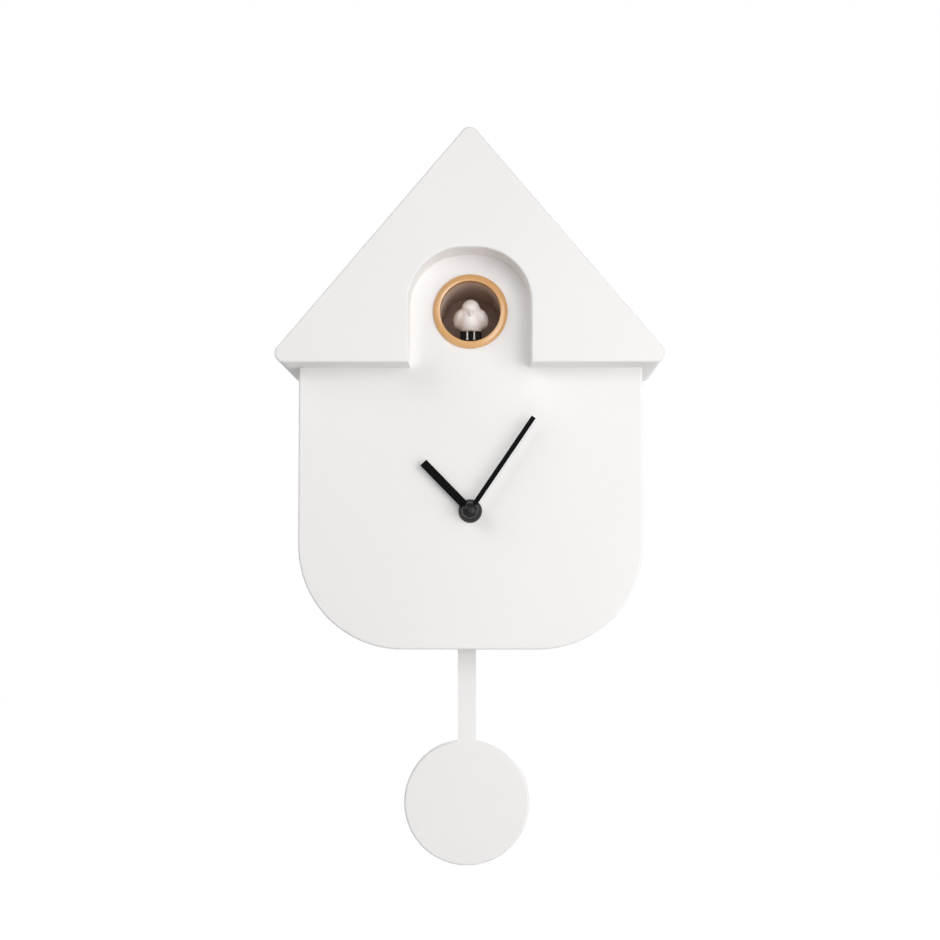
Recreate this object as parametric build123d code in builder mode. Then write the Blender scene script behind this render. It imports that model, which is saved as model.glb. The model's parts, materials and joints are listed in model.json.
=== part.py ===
"""Cuckoo clock for hanging on a wall, as separate moulded, turned and pressed pieces.

Millimetres. +X is the viewer's right, +Y runs into the wall and +Z is up.
The origin is the middle of the keyhole that hangs the clock, on the wall plane.
Depths are distances from the wall, so a larger depth is nearer to the viewer.
"""
import os
from math import acos, atan2, cos, floor, pi, radians, sin, tan

from build123d import *

os.makedirs("parts", exist_ok=True)

# Case
DEPTH = 76.0
ROOF_REACH = 20.0
SHELL = 2.5
COVER = 2.5
EDGE = 1.2
HOUSE_WIDTH = 193.2
HOUSE_HEIGHT = 158.3
HOUSE_CORNER = 58.5
ROOF_BASE = 226.8
ROOF_RISE = 133.8
ROOF_CORNER = 5.2
ARCH_WIDTH = 67.7
ARCH_HEIGHT = 63.8
ARCH_CORNER = 30.4
HANG_HEIGHT = 75.3
KEYHOLE_R = 4.5
KEYHOLE_SLOT = 5.0
KEYHOLE_RISE = 11.0

# Fits
FIT = 0.3
RUN = 0.05

# Screws and their posts
SCREW_R = 1.5
HEAD_R = 2.8
HEAD = 1.8
POST_R = 4.0
SCREW_BITE = 9.0
SCREW_SPARE = 1.0
SINK = 0.4
CROSS_LONG = 3.6
CROSS_WIDE = 0.8
CROSS_DEEP = 0.8
PAD = 2.0
COVER_LOW_IN = 14.6
COVER_HIGH_IN = 16.0
COVER_HIGH_RISE = 36.0
ROOF_LOW_IN = 24.6
ROOF_LOW_RISE = 16.0
ROOF_HIGH_IN = 6.0
ROOF_HIGH_RISE = 88.0

# Dial
HANDS_HEIGHT = 77.4
HOUR_LENGTH = 37.5
HOUR_WIDTH = 4.7
HOUR_ANGLE = 44.2
MINUTE_LENGTH = 63.0
MINUTE_WIDTH = 2.7
MINUTE_ANGLE = -34.2
HAND = 0.7
CAP_R = 4.6
CAP_HEIGHT = 4.6
STEM_R = 4.0
WASHER_R = 6.6
WASHER = 0.8
NUT_FLATS = 10.0
NUT = 2.0
NUT_TURN = 7.6

# Movement
MOVEMENT = 56.0
MOVEMENT_DEPTH = 16.0
MOVEMENT_WALL = 1.5
ARBOR_R = 1.6
PIPE_R = 2.6
SHAFT_R = 1.5
PEG_R = 0.8
GEAR = 1.4
MODULE = 0.5
CENTRE_TEETH = 60
CANNON_TEETH = 12
MINUTE_TEETH = 36
LEAF_TEETH = 10
HOUR_TEETH = 40
SETTING_TEETH = 18
MOTOR_TEETH = 8
KNOB_R = 8.0

# Bird and its drive
RING_HEIGHT = 31.6
RING_OUTER = 21.0
RING_INNER = 17.1
RING_FRONT = 2.5
RING_RIM = 0.9
RING_CROWN = 0.3
RING_BEVEL = 1.1
BEVEL_FALL = 0.36
TUNNEL_R = 17.4
TUNNEL_WALL = 1.6
BIRD_SETBACK = 18.0
RACK_SPARE = 4.0
RACK_GAP = 0.7
RACK_MODULE = 0.7
PINION_TEETH = 14
DRIVE_TEETH = 40
DRIVER_TEETH = 10
MOTOR_R = 10.0
MOTOR_LENGTH = 20.0
AXLE_R = 1.0

# Pendulum
PENDULUM_X = -2.4
PENDULUM_SETBACK = 8.0
PENDULUM_DROP = 88.8
DISC_R = 36.0
DISC = 8.0
ROD_WIDTH = 10.4
ROD = 3.0
SWING = 7.0
PIVOT_BELOW_HANDS = 6.0
HANGER = 2.5

# Power and sound
CELL_R = 7.25
CELL_LENGTH = 50.5
TRAY_DEPTH = 20.5
TRAY_WALL = 1.5
BARREL_R = 3.0
PIN_R = 1.2
SPEAKER_R = 20.0
SPEAKER_RIM = 2.0
SPEAKER_DEPTH = 12.0
SPEAKER_NECK = 10.0
SPEAKER_MAGNET = 7.0
SPEAKER_IN = 34.0
SPEAKER_RISE = 105.0
BASKET_WALL = 1.5
CONE_BORDER = 5.4
CONE_NECK = 5.0
CONE_WALL = 0.8
BOARD = 1.6
BOARD_WIDTH = 48.0
BOARD_HEIGHT = 56.0
BOARD_IN = 34.6
BOARD_RISE = 41.0
BOARD_POST = 12.0
BOARD_POST_R = 3.0
BOARD_HOLE_IN = 4.0
CHIP_WIDTH = 16.0
CHIP_HEIGHT = 10.0
CHIP = 3.0
DRIVER_WIDTH = 8.0
DRIVER_HEIGHT = 5.0
DRIVER = 2.0
CAN_R = 4.0
CAN = 9.0
SMALL_CAN_R = 3.2
SMALL_CAN = 7.0
PLUG_HEIGHT = 6.0
PART_GAP = 6.0
SWITCH_THROW = 3.0

# Levels and planes that the pieces share
z_roof = -HANG_HEIGHT
z_floor = z_roof - HOUSE_HEIGHT
z_ring = z_roof + RING_HEIGHT
z_hands = z_floor + HANDS_HEIGHT
half = HOUSE_WIDTH / 2
face = DEPTH - ROOF_REACH
inner = face - SHELL
pitch = atan2(ROOF_RISE, ROOF_BASE / 2)


def gable_half(height, inset):
    """Half width of the roof's triangle at a height over the eaves, set in by a thickness."""
    return ROOF_BASE / 2 * (1 - height / ROOF_RISE) - inset / sin(pitch)


def bar(x, z, start, end, radius, mode=Mode.ADD):
    """Round bar along the depth."""
    with Locations((x, -start, z)):
        Cylinder(
            radius,
            end - start,
            rotation=(90, 0, 0),
            align=(Align.CENTER, Align.CENTER, Align.MIN),
            mode=mode,
        )


def axle(depth, z, start, end, radius, mode=Mode.ADD):
    """Round bar from left to right."""
    with Locations((start, -depth, z)):
        Cylinder(
            radius,
            end - start,
            rotation=(0, 90, 0),
            align=(Align.CENTER, Align.CENTER, Align.MIN),
            mode=mode,
        )


def block(x, depth, z, mode=Mode.ADD):
    """Box between two limits each way."""
    with Locations(((x[0] + x[1]) / 2, -(depth[0] + depth[1]) / 2, (z[0] + z[1]) / 2)):
        Box(x[1] - x[0], depth[1] - depth[0], z[1] - z[0], mode=mode)


def recess(x, z, start):
    """Cross cut in a screw's head, from its outer face inwards."""
    for wide, high in ((CROSS_LONG, CROSS_WIDE), (CROSS_WIDE, CROSS_LONG)):
        block(
            (x - wide / 2, x + wide / 2),
            (start, start + CROSS_DEEP),
            (z - high / 2, z + high / 2),
            Mode.SUBTRACT,
        )


def egg(x, depth, z, radii, tilt):
    """Ball drawn out to three radii, tipped forward by an angle in degrees."""
    ball = scale(Sphere(1.0, mode=Mode.PRIVATE), by=radii, mode=Mode.PRIVATE)
    add(Pos(x, -depth, z) * Rot(tilt, 0, 0) * ball)


PRESSURE = radians(25)
ADDENDUM = 0.75
DEDENDUM = 1.1
BACKLASH = 0.16


def gear_points(teeth, module, phase, centre):
    """Outline of a spur gear about a centre, one tooth's middle at the phase angle in degrees."""
    radius = teeth * module / 2
    base = radius * cos(PRESSURE)
    root = radius - DEDENDUM * module
    radii = (root, max(base, root), radius, radius + ADDENDUM * module)
    points = []
    for tooth in range(teeth):
        middle = radians(phase) + 2 * pi * tooth / teeth
        rising = []
        falling = []
        for reach in radii:
            lean = acos(min(1.0, base / reach))
            spread = pi / (2 * teeth) * (1 - BACKLASH) + tan(PRESSURE) - PRESSURE - tan(lean) + lean
            rising.append((reach * cos(middle - spread), reach * sin(middle - spread)))
            falling.insert(0, (reach * cos(middle + spread), reach * sin(middle + spread)))
        if base <= root:
            rising.pop(0)
            falling.pop()
        points += rising + falling
    return [(centre[0] + along, centre[1] + up) for along, up in points]


def tip_radius(teeth, module):
    """Outside radius of a gear."""
    return (teeth / 2 + ADDENDUM) * module


# Outlines that several pieces share, drawn on the wall plane
house_inset = SHELL + FIT
shoulder = ROOF_RISE * (1 - (half + house_inset / sin(pitch)) / (ROOF_BASE / 2))
house_peak = ROOF_RISE - house_inset / cos(pitch)

with BuildSketch(Plane.XZ) as roof_shape:
    with BuildLine():
        Polyline(
            (-ROOF_BASE / 2, z_roof),
            (ROOF_BASE / 2, z_roof),
            (0, z_roof + ROOF_RISE),
            close=True,
        )
    make_face()
    fillet(roof_shape.vertices(), ROOF_CORNER)

with BuildSketch(Plane.XZ) as house_shape:
    with BuildLine():
        Polyline(
            (-half, z_floor),
            (half, z_floor),
            (half, z_roof + shoulder),
            (0, z_roof + house_peak),
            (-half, z_roof + shoulder),
            close=True,
        )
    make_face()
    fillet(house_shape.vertices().sort_by(Axis.Y)[:2], HOUSE_CORNER)
    fillet(house_shape.vertices().sort_by(Axis.Y)[-1:], ROOF_CORNER - house_inset)

with BuildSketch(Plane.XZ) as arch_shape:
    with Locations((0, z_roof + ARCH_HEIGHT)):
        Rectangle(ARCH_WIDTH, ARCH_HEIGHT + SHELL, align=(Align.CENTER, Align.MAX))
    fillet(arch_shape.vertices().sort_by(Axis.Y)[-2:], ARCH_CORNER)

# Screw places
cover_low = (half - COVER_LOW_IN, z_floor + HOUSE_CORNER + POST_R)
cover_high = (gable_half(COVER_HIGH_RISE, house_inset + SHELL) - COVER_HIGH_IN, z_roof + COVER_HIGH_RISE)
cover_places = [(s * x, z) for s in (-1, 1) for x, z in (cover_low, cover_high)]
roof_low = (half - ROOF_LOW_IN, z_roof + ROOF_LOW_RISE)
roof_high = (gable_half(ROOF_HIGH_RISE, house_inset + SHELL) - ROOF_HIGH_IN, z_roof + ROOF_HIGH_RISE)
roof_places = [(s * x, z) for s in (-1, 1) for x, z in (roof_low, roof_high)]
pad = COVER + PAD

# Stack on the hands' axis
washer_end = face + WASHER
nut_end = washer_end + NUT
stem_end = nut_end + 0.8
hour_back = stem_end + 1.0
pipe_end = hour_back + HAND + 0.6
minute_back = pipe_end + 1.2
cap_back = minute_back + HAND
movement_back = inner - MOVEMENT_DEPTH
movement_split = inner - MOVEMENT_DEPTH / 2
movement_half = MOVEMENT / 2

# Gear planes inside the movement
case_front = inner - MOVEMENT_WALL
case_rear = movement_back + MOVEMENT_WALL
centre_plane = case_rear + 2.0
minute_plane = centre_plane + GEAR + 2.2
leaf_plane = minute_plane + GEAR + 2.4
leaf_gap = (CANNON_TEETH + MINUTE_TEETH) * MODULE / 2
leaf_module = 2 * leaf_gap / (LEAF_TEETH + HOUR_TEETH)
minute_z = z_hands + leaf_gap
minute_phase = 270 + 180 / MINUTE_TEETH
setting_angle = (minute_phase + 11 * 360 / MINUTE_TEETH) % 360
setting_gap = (MINUTE_TEETH + SETTING_TEETH) * MODULE / 2
knob_x = setting_gap * cos(radians(setting_angle))
knob_z = minute_z + setting_gap * sin(radians(setting_angle))
motor_angle = 225
motor_gap = (CENTRE_TEETH + MOTOR_TEETH) * MODULE / 2
step_x = motor_gap * cos(radians(motor_angle))
step_z = z_hands + motor_gap * sin(radians(motor_angle))

# Bird drive
ring_spigot = RING_INNER + 1.7
ring_ridge = RING_INNER + RING_BEVEL
tunnel_outer = TUNNEL_R + TUNNEL_WALL
tunnel_back = COVER + 2.5
rack_back = COVER + 2.3
bird_travel = (inner - rack_back - RACK_SPARE - RACK_GAP) / 2
rack_length = bird_travel + RACK_SPARE
bird_depth = face - BIRD_SETBACK
carriage_z = z_ring - tunnel_outer - 4.5
rack_z = carriage_z - 3.5 - DEDENDUM * RACK_MODULE
pinion_r = PINION_TEETH * RACK_MODULE / 2
pinion_z = rack_z - pinion_r
pinion_depth = rack_back + (rack_length + bird_travel) / 2
drive_gap = (DRIVE_TEETH + DRIVER_TEETH) * MODULE / 2
motor_depth = pinion_depth - drive_gap
rail = 4.0
rail_outer = rail + 2.5
drive_x = rail_outer + 0.8
motor_plate = drive_x + 4.0
motor_x = motor_plate + 2.0
bracket_low = pinion_z - tip_radius(DRIVE_TEETH, MODULE) - 3.0
bracket_post = inner - 6.0
bracket_flange = bracket_post - 2.0
bracket_places = [(-rail_outer - 6.5, bracket_low + 4.5), (motor_x + 7.0, bracket_low + 4.5)]
stem_back = rack_back + 13.0
stem_width = 4.0
stand_low = z_ring - 15.6
stand_top = z_ring - 8.7
tunnel_peg_x = tunnel_outer + 6.5

# Pendulum
pivot_z = z_hands - PIVOT_BELOW_HANDS
disc_z = z_floor - PENDULUM_DROP
pendulum_front = movement_back - PENDULUM_SETBACK
bracket_back = movement_back - 2.0
hanger_front = pendulum_front + HANGER
magnet_z = pivot_z - 15.0
hook_high = pivot_z - 12.0
hook_low = pivot_z - 24.0
slot_half = (pivot_z - z_floor) * tan(radians(SWING)) + ROD_WIDTH / 2 + 2.0

# Battery bay, speaker, board and switch
bay_half = 2 * CELL_R + 2.0
tray_half = bay_half + 2 * TRAY_WALL
bay_x = half - 9.6 - tray_half
bay_low = z_floor + HOUSE_CORNER + 15.0
bay_high = bay_low + CELL_LENGTH + 4.5
hinge_z = bay_high - FIT - BARREL_R
tray_back = COVER + TRAY_DEPTH
speaker_x = -half + SPEAKER_IN
speaker_z = z_floor + SPEAKER_RISE
board_x = -half + BOARD_IN
board_z = z_floor + HOUSE_CORNER + BOARD_RISE
board_front = inner - BOARD_POST
hole_x = BOARD_WIDTH / 2 - BOARD_HOLE_IN
hole_z = BOARD_HEIGHT / 2 - BOARD_HOLE_IN
board_places = [(board_x + i * hole_x, board_z + k * hole_z) for i in (-1, 1) for k in (-1, 1)]
switch_x = speaker_x
switch_z = speaker_z - SPEAKER_R - 17.0


# Roof: gable, slopes and eaves in one moulding, with the arch sleeve
with BuildPart() as roof_shell:
    with BuildSketch(Plane.XZ):
        add(roof_shape.sketch_local)
    extrude(amount=DEPTH)
    with BuildSketch(Plane.XZ.offset(SHELL)):
        add(roof_shape.sketch_local)
        offset(amount=-SHELL)
    extrude(amount=DEPTH - 2 * SHELL, mode=Mode.SUBTRACT)
    with BuildSketch(Plane.XZ.offset(face)):
        add(arch_shape.sketch_local)
        offset(amount=SHELL)
        add(roof_shape.sketch_local, mode=Mode.INTERSECT)
    extrude(amount=ROOF_REACH - SHELL / 2)
    with BuildSketch(Plane.XZ.offset(face)):
        add(arch_shape.sketch_local)
    extrude(amount=ROOF_REACH, mode=Mode.SUBTRACT)
    with BuildSketch(Plane.XZ):
        add(house_shape.sketch_local)
        offset(amount=FIT)
    extrude(amount=face, mode=Mode.SUBTRACT)
    for x, z in roof_places:
        bar(x, z, face, DEPTH - SHELL / 2, POST_R)
        bar(x, z, face, face + SCREW_BITE, SCREW_R, Mode.SUBTRACT)
    fillet(roof_shell.faces().sort_by(Axis.Y)[0].edges(), EDGE)
roof_shell.part.label = "roof_shell"
export_step(roof_shell.part, "parts/roof_shell.step")

# Housing: open at the back, its face rises behind the arch
with BuildPart() as front_housing:
    with BuildSketch(Plane.XZ.offset(COVER)):
        add(house_shape.sketch_local)
    extrude(amount=face - COVER)
    rim = front_housing.faces().sort_by(Axis.Y)[0].edges()
    fillet(rim.filter_by(lambda e: e.center().Z < z_roof), EDGE)
    with BuildSketch(Plane.XZ.offset(COVER)):
        add(house_shape.sketch_local)
        offset(amount=-SHELL)
    extrude(amount=inner - COVER, mode=Mode.SUBTRACT)
    for x, z in cover_places:
        bar(x, z, pad, inner, POST_R)
        bar(x, z, pad, pad + SCREW_BITE, SCREW_R, Mode.SUBTRACT)
    for x, z in board_places:
        bar(x, z, board_front, inner, BOARD_POST_R)
        bar(x, z, board_front, board_front + SCREW_BITE, SCREW_R, Mode.SUBTRACT)
    for x, z in bracket_places:
        bar(x, z, bracket_post, inner, POST_R)
        bar(x, z, bracket_post, inner - 1.0, SCREW_R, Mode.SUBTRACT)
    for x in (-tunnel_peg_x, tunnel_peg_x):
        bar(x, z_ring, inner - 3.0, inner, SCREW_R)
    for x, z in roof_places:
        bar(x, z, inner, face, SCREW_R + FIT, Mode.SUBTRACT)
    bar(0, z_hands, inner, face, STEM_R + FIT, Mode.SUBTRACT)
    bar(0, z_ring, inner, face, ring_spigot + FIT, Mode.SUBTRACT)
    block(
        (PENDULUM_X - slot_half, PENDULUM_X + slot_half),
        (pendulum_front - ROD - 2.0, pendulum_front + 2.0),
        (z_floor - SHELL, z_floor + 2 * SHELL),
        Mode.SUBTRACT,
    )
front_housing.part.label = "front_housing"
export_step(front_housing.part, "parts/front_housing.step")

# Back cover: flat against the wall, with a locating lip inside the housing
with BuildPart() as back_cover:
    with BuildSketch(Plane.XZ):
        add(house_shape.sketch_local)
    extrude(amount=COVER)
    with BuildSketch(Plane.XZ.offset(COVER)):
        add(house_shape.sketch_local)
        offset(amount=-house_inset)
    extrude(amount=2.5)
    with BuildSketch(Plane.XZ.offset(COVER)):
        add(house_shape.sketch_local)
        offset(amount=-house_inset - 1.6)
    extrude(amount=2.5, mode=Mode.SUBTRACT)
    for x, z in cover_places:
        bar(x, z, COVER, pad, POST_R)
        bar(x, z, 0, pad, SCREW_R + FIT, Mode.SUBTRACT)
        bar(x, z, 0, HEAD + SINK, HEAD_R + FIT, Mode.SUBTRACT)
    bar(0, 0, 0, COVER, KEYHOLE_R, Mode.SUBTRACT)
    with BuildSketch(Plane.XZ):
        with Locations((0, KEYHOLE_RISE / 2)):
            SlotCenterToCenter(KEYHOLE_RISE, KEYHOLE_SLOT, rotation=90)
    extrude(amount=COVER, mode=Mode.SUBTRACT)
    bar(knob_x, knob_z, 0, COVER, KNOB_R + 1.0, Mode.SUBTRACT)
    block((bay_x - bay_half, bay_x + bay_half), (0, COVER), (bay_low, bay_high), Mode.SUBTRACT)
    block((bay_x - 7, bay_x + 7), (0, 1.2), (bay_low - 5, bay_low), Mode.SUBTRACT)
    for x in (bay_x - bay_half - TRAY_WALL, bay_x + bay_half):
        block(
            (x, x + TRAY_WALL),
            (COVER, 2 * BARREL_R),
            (hinge_z - BARREL_R, hinge_z + BARREL_R),
        )
    axle(
        BARREL_R,
        hinge_z,
        bay_x - bay_half - TRAY_WALL,
        bay_x + bay_half + TRAY_WALL,
        PIN_R + RUN,
        Mode.SUBTRACT,
    )
    with BuildSketch(Plane.XZ):
        with Locations((speaker_x, speaker_z)):
            with HexLocations(2.6, 5, 5):
                Circle(1.2)
    extrude(amount=COVER, mode=Mode.SUBTRACT)
    block(
        (switch_x - SWITCH_THROW - 3.0, switch_x + SWITCH_THROW + 3.0),
        (0, COVER),
        (switch_z - 2.3, switch_z + 2.3),
        Mode.SUBTRACT,
    )
back_cover.part.label = "back_cover"
export_step(back_cover.part, "parts/back_cover.step")

# Screws of the cover, sunk under the wall plane
with BuildPart() as cover_screws:
    for x, z in cover_places:
        bar(x, z, SINK, SINK + HEAD, HEAD_R)
        bar(x, z, SINK + HEAD, pad + SCREW_BITE - SCREW_SPARE, SCREW_R)
        recess(x, z, SINK)
cover_screws.part.label = "cover_screws"
export_step(cover_screws.part, "parts/cover_screws.step")

# Screws that pull the roof on to the housing face
with BuildPart() as roof_screws:
    for x, z in roof_places:
        bar(x, z, inner - HEAD, inner, HEAD_R)
        bar(x, z, inner, face + SCREW_BITE - SCREW_SPARE, SCREW_R)
        recess(x, z, inner - HEAD)
roof_screws.part.label = "roof_screws"
export_step(roof_screws.part, "parts/roof_screws.step")

# Ring around the bird's hole: spigot through the face, crowned front and a bevel into the hole
with BuildPart() as bird_ring:
    with BuildSketch(Plane((0, 0, z_ring))):
        with BuildLine():
            SagittaArc((RING_OUTER, -face - RING_RIM), (ring_ridge, -face - RING_FRONT), RING_CROWN)
            Polyline(
                (ring_ridge, -face - RING_FRONT),
                (RING_INNER, -face - RING_FRONT + BEVEL_FALL),
                (RING_INNER, -inner),
                (ring_spigot, -inner),
                (ring_spigot, -face),
                (RING_OUTER, -face),
                (RING_OUTER, -face - RING_RIM),
            )
        make_face()
    revolve(axis=Axis((0, 0, z_ring), (0, 1, 0)))
bird_ring.part.label = "bird_ring"
export_step(bird_ring.part, "parts/bird_ring.step")

# Tunnel that the bird waits in, slotted below for the carriage's stem
with BuildPart() as bird_tunnel:
    bar(0, z_ring, tunnel_back, inner, tunnel_outer)
    for x in (-tunnel_peg_x, tunnel_peg_x):
        block(
            (min(x, x * 0.6), max(x, x * 0.6)),
            (inner - 2.0, inner),
            (z_ring - 5.0, z_ring + 5.0),
        )
        bar(x, z_ring, inner - 2.0, inner, 5.0)
        bar(x, z_ring, inner - 2.0, inner, SCREW_R, Mode.SUBTRACT)
    bar(0, z_ring, tunnel_back + TUNNEL_WALL, inner, TUNNEL_R, Mode.SUBTRACT)
    block(
        (-stem_width / 2 - FIT, stem_width / 2 + FIT),
        (stem_back - 1.0, stem_back + stem_width + bird_travel + 1.0),
        (z_ring - tunnel_outer - 1.0, z_ring),
        Mode.SUBTRACT,
    )
bird_tunnel.part.label = "bird_tunnel"
export_step(bird_tunnel.part, "parts/bird_tunnel.step")

# Stand: bar along the tunnel floor and the block that the bird sits on
with BuildPart() as bird_stand:
    block((-4.0, 4.0), (stem_back - 1.0, bird_depth + 5.0), (stand_low, stand_low + 2.0))
    block((-6.0, 6.0), (bird_depth - 6.0, bird_depth + 4.0), (stand_low + 2.0, stand_top))
    fillet(bird_stand.edges().filter_by(Axis.Z), 0.8)
bird_stand.part.label = "bird_stand"
export_step(bird_stand.part, "parts/bird_stand.step")

# Bird: rows are height over the ring's centre, half width, half length, forward shift
bird_rows = (
    (-8.7, 5.6, 6.4, 0.0),
    (-6.6, 7.2, 8.6, 0.2),
    (-2.4, 7.4, 9.2, 0.6),
    (1.2, 7.0, 8.2, 1.4),
    (3.9, 6.1, 6.6, 2.4),
    (6.8, 4.7, 5.2, 3.0),
    (9.2, 2.9, 3.2, 3.2),
    (10.4, 0.8, 0.9, 3.2),
)
with BuildPart() as bird:
    for height, wide, long, shift in bird_rows:
        with BuildSketch(Plane.XY.offset(z_ring + height)):
            with Locations((0, -bird_depth - shift)):
                Ellipse(wide, long)
    loft()
    for side in (-1, 1):
        egg(side * 6.5, bird_depth - 2.2, z_ring - 1.7, (3.3, 8.6, 5.3), -14)
    egg(0, bird_depth - 7.0, z_ring - 2.2, (4.2, 6.4, 3.4), -16)
    with BuildSketch(Plane.YZ.offset(-3.6)):
        with BuildLine():
            Polyline(
                (-bird_depth + 8.0, z_ring - 2.6),
                (-bird_depth + 8.0, z_ring + 0.2),
                (-bird_depth + 14.1, z_ring + 1.4),
                (-bird_depth + 14.1, z_ring + 0.2),
                close=True,
            )
        make_face()
    extrude(amount=7.2)
    with Locations((0, -bird_depth - 9.0, z_ring + 4.3)):
        Cone(2.3, 0.3, 5.6, rotation=(118, 0, 0))
    for side in (-1, 1):
        with Locations((side * 2.0, -bird_depth - 4.65, stand_low + 2.0)):
            Cylinder(0.6, stand_top - stand_low, align=(Align.CENTER, Align.CENTER, Align.MIN))
bird.part.label = "bird"
export_step(bird.part, "parts/bird.step")

# Carriage under the tunnel: rails at the sides, rack below, stem through the slot
tooth_pitch = pi * RACK_MODULE
tooth_half = tooth_pitch / 4 * (1 - BACKLASH)
tooth_tip = tooth_half - ADDENDUM * RACK_MODULE * tan(PRESSURE)
tooth_root = tooth_half + DEDENDUM * RACK_MODULE * tan(PRESSURE)
rack_teeth = floor((pinion_depth - rack_back - tooth_root) / tooth_pitch - 0.5) + 1
with BuildPart() as bird_carriage:
    block((-3.0, 3.0), (rack_back, rack_back + rack_length), (carriage_z - 3.5, carriage_z + 3.5))
    block(
        (-rail - 1.0, rail + 1.0),
        (rack_back, rack_back + rack_length),
        (carriage_z + 0.5, carriage_z + 2.5),
    )
    block(
        (-stem_width / 2, stem_width / 2),
        (stem_back, stem_back + stem_width),
        (carriage_z, stand_low),
    )
    with BuildSketch(Plane.YZ.offset(-3.0)):
        for tooth in range(-1, rack_teeth):
            middle = (tooth + 0.5) * tooth_pitch - pinion_depth
            with BuildLine():
                Polyline(
                    (middle - tooth_root, carriage_z - 3.5),
                    (middle - tooth_tip, rack_z - ADDENDUM * RACK_MODULE),
                    (middle + tooth_tip, rack_z - ADDENDUM * RACK_MODULE),
                    (middle + tooth_root, carriage_z - 3.5),
                    close=True,
                )
            make_face()
    extrude(amount=6.0)
bird_carriage.part.label = "bird_carriage"
export_step(bird_carriage.part, "parts/bird_carriage.step")

# Bracket: two grooved rails for the carriage, a plate for the motor, a flange on two posts
with BuildPart() as bird_bracket:
    for x in (-rail_outer, rail):
        block((x, x + 2.5), (rack_back, inner - 0.5), (bracket_low, carriage_z + 4.0))
    block((motor_plate, motor_x), (rack_back, bracket_post), (bracket_low, pinion_z + MOTOR_R))
    block((-rail_outer, motor_x), (rack_back, bracket_post), (bracket_low, bracket_low + 2.0))
    block(
        (-rail_outer - 11.0, motor_x + 12.0),
        (bracket_flange, bracket_post),
        (bracket_low, bracket_low + 9.0),
    )
    block(
        (-rail - 1.0 - FIT, rail + 1.0 + FIT),
        (rack_back, inner),
        (carriage_z + 0.5 - FIT, carriage_z + 2.5 + FIT),
        Mode.SUBTRACT,
    )
    axle(pinion_depth, pinion_z, -rail_outer, rail_outer, AXLE_R + RUN, Mode.SUBTRACT)
    axle(motor_depth, pinion_z, motor_plate, motor_x, 3.0, Mode.SUBTRACT)
    for x, z in bracket_places:
        bar(x, z, bracket_flange, bracket_post, SCREW_R + FIT, Mode.SUBTRACT)
bird_bracket.part.label = "bird_bracket"
export_step(bird_bracket.part, "parts/bird_bracket.step")

with BuildPart() as bracket_screws:
    for x, z in bracket_places:
        bar(x, z, bracket_flange - HEAD, bracket_flange, HEAD_R)
        bar(x, z, bracket_flange, inner - 1.5, SCREW_R)
        recess(x, z, bracket_flange - HEAD)
bracket_screws.part.label = "bracket_screws"
export_step(bracket_screws.part, "parts/bracket_screws.step")

# Drive gear: large gear outside the rail, pinion under the rack, one axle
with BuildPart() as drive_gear:
    axle(pinion_depth, pinion_z, -rail_outer, drive_x + 3.0, AXLE_R)
    with BuildSketch(Plane.YZ.offset(-3.2)):
        with BuildLine():
            Polyline(*gear_points(PINION_TEETH, RACK_MODULE, 90, (-pinion_depth, pinion_z)), close=True)
        make_face()
    extrude(amount=6.4)
    with BuildSketch(Plane.YZ.offset(drive_x)):
        with BuildLine():
            Polyline(*gear_points(DRIVE_TEETH, MODULE, 0, (-pinion_depth, pinion_z)), close=True)
        make_face()
    extrude(amount=2.2)
drive_gear.part.label = "drive_gear"
export_step(drive_gear.part, "parts/drive_gear.step")

with BuildPart() as bird_motor:
    axle(motor_depth, pinion_z, motor_x, motor_x + MOTOR_LENGTH, MOTOR_R)
    axle(motor_depth, pinion_z, motor_x + MOTOR_LENGTH, motor_x + MOTOR_LENGTH + 2.0, 3.5)
    axle(motor_depth, pinion_z, motor_plate + FIT, motor_x, 3.0 - FIT)
    axle(motor_depth, pinion_z, motor_plate + FIT, motor_x + 4.0, AXLE_R + RUN, Mode.SUBTRACT)
bird_motor.part.label = "bird_motor"
export_step(bird_motor.part, "parts/bird_motor.step")

driver_phase = 180 + 180 / DRIVER_TEETH
with BuildPart() as motor_pinion:
    axle(motor_depth, pinion_z, drive_x - 0.3, motor_x + 3.5, AXLE_R)
    with BuildSketch(Plane.YZ.offset(drive_x - 0.3)):
        with BuildLine():
            Polyline(*gear_points(DRIVER_TEETH, MODULE, driver_phase, (-motor_depth, pinion_z)), close=True)
        make_face()
    extrude(amount=2.8)
motor_pinion.part.label = "motor_pinion"
export_step(motor_pinion.part, "parts/motor_pinion.step")

# Movement case, front half with the threaded stem
with BuildPart() as movement_front:
    block(
        (-movement_half, movement_half),
        (movement_split, inner),
        (z_hands - movement_half, z_hands + movement_half),
    )
    fillet(movement_front.edges().filter_by(Axis.Y), 4.0)
    with BuildSketch(Plane.XZ.offset(movement_split)):
        with Locations((0, z_hands)):
            RectangleRounded(MOVEMENT - 2 * MOVEMENT_WALL, MOVEMENT - 2 * MOVEMENT_WALL, 2.5)
    extrude(amount=case_front - movement_split, mode=Mode.SUBTRACT)
    bar(0, z_hands, case_front, stem_end, STEM_R)
    bar(0, z_hands, case_front, stem_end, PIPE_R + RUN, Mode.SUBTRACT)
    bar(0, minute_z, minute_plane - 0.6, case_front, PEG_R)
    bar(knob_x, knob_z, leaf_plane, case_front, SHAFT_R + 1.5)
    bar(knob_x, knob_z, leaf_plane, case_front - 0.5, SHAFT_R + RUN, Mode.SUBTRACT)
movement_front.part.label = "movement_front"
export_step(movement_front.part, "parts/movement_front.step")

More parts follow.
